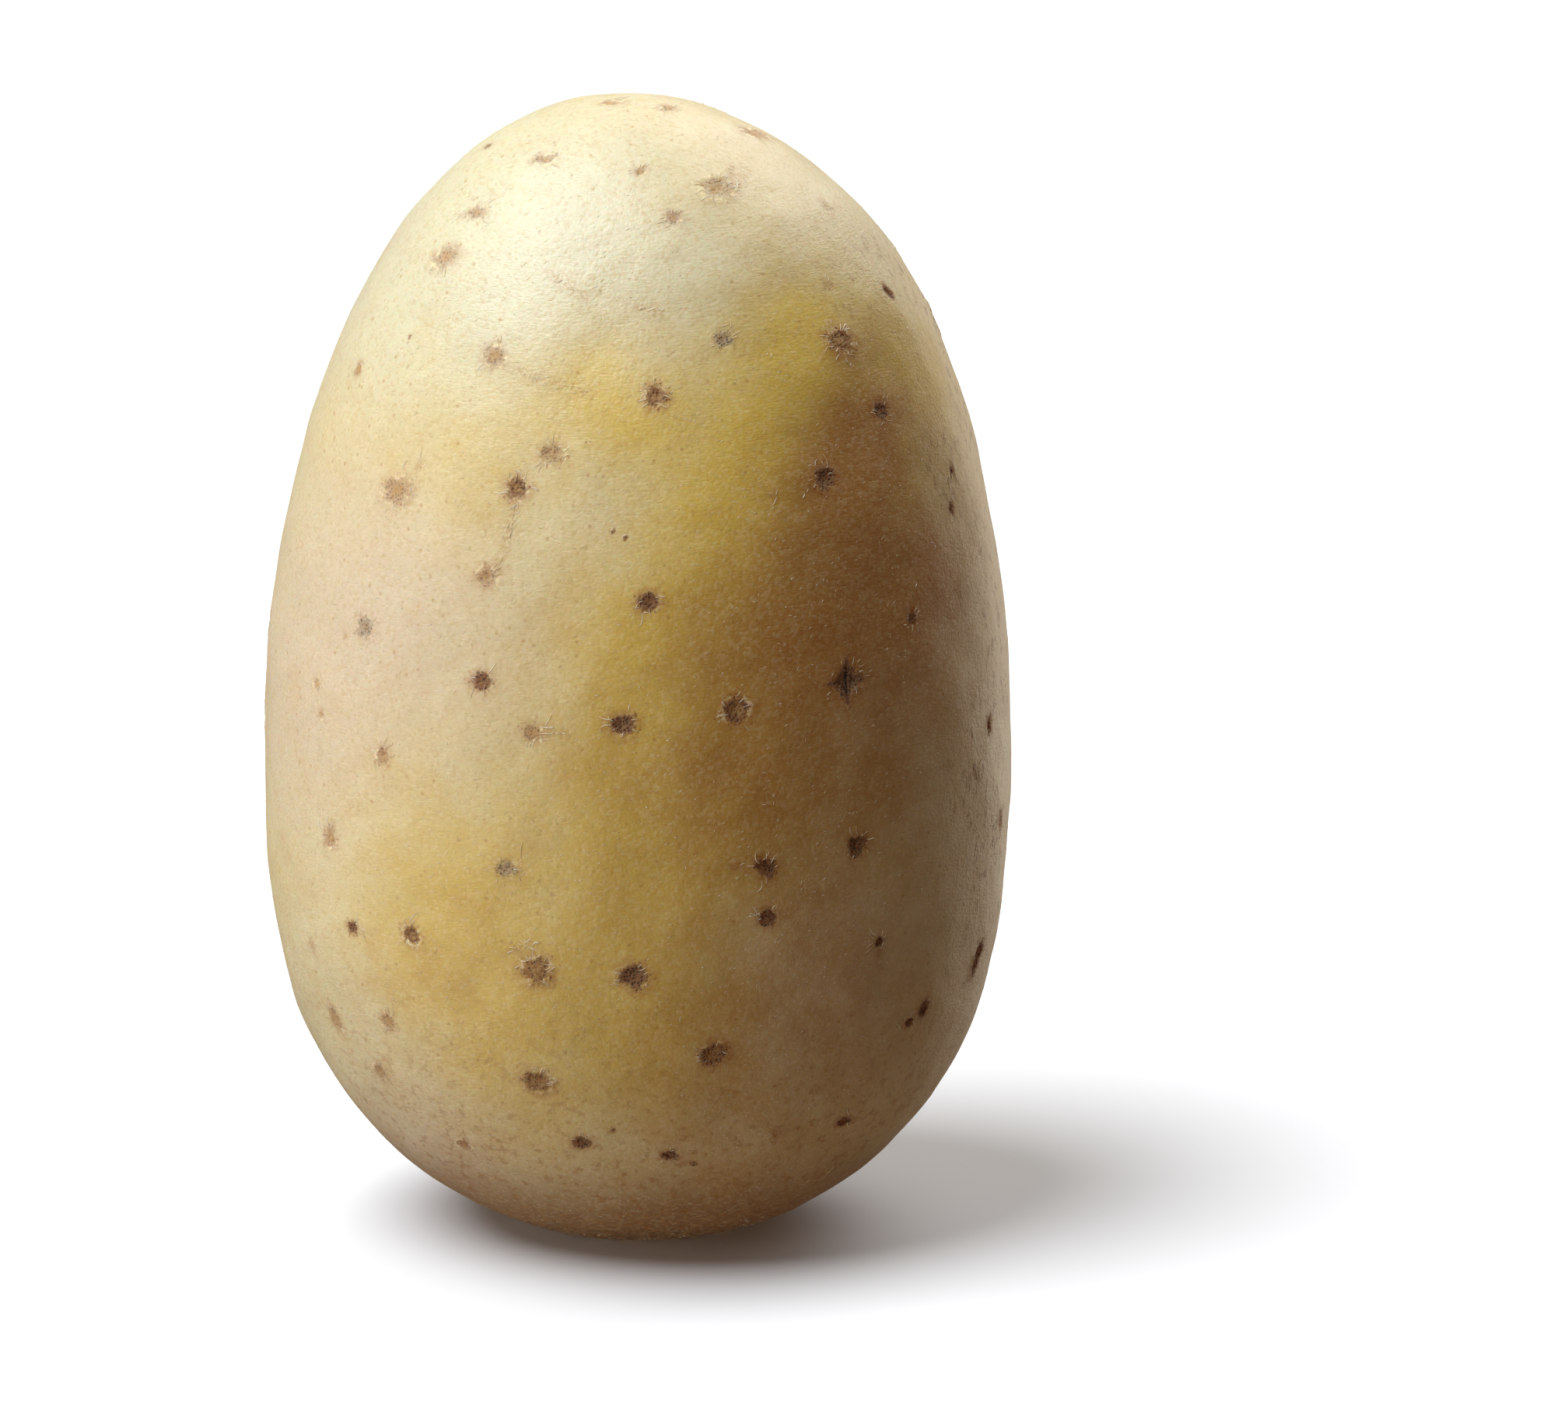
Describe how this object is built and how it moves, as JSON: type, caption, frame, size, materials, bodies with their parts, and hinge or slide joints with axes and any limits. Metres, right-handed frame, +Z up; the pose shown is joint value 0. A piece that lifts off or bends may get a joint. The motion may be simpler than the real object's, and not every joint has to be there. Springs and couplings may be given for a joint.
{
  "type": "potato",
  "caption": "Whole long-oval potato with thin cream-yellow skin and small brown lenticels, standing upright on a small flat spot at its broad end.",
  "frame": {"origin": "middle of the tuber's outline seen from above, on the plane it stands on", "axes": "+Z up along the tuber's length, towards its narrower end; +X across its width; +Y through its thickness, away from the side with the hollow on its shoulder"},
  "size_m": [0.0654, 0.058, 0.1],
  "materials": {
    "skin": "satin"
  },
  "bodies": {
    "root": {"potato": "skin"}
  },
  "joints": []
}
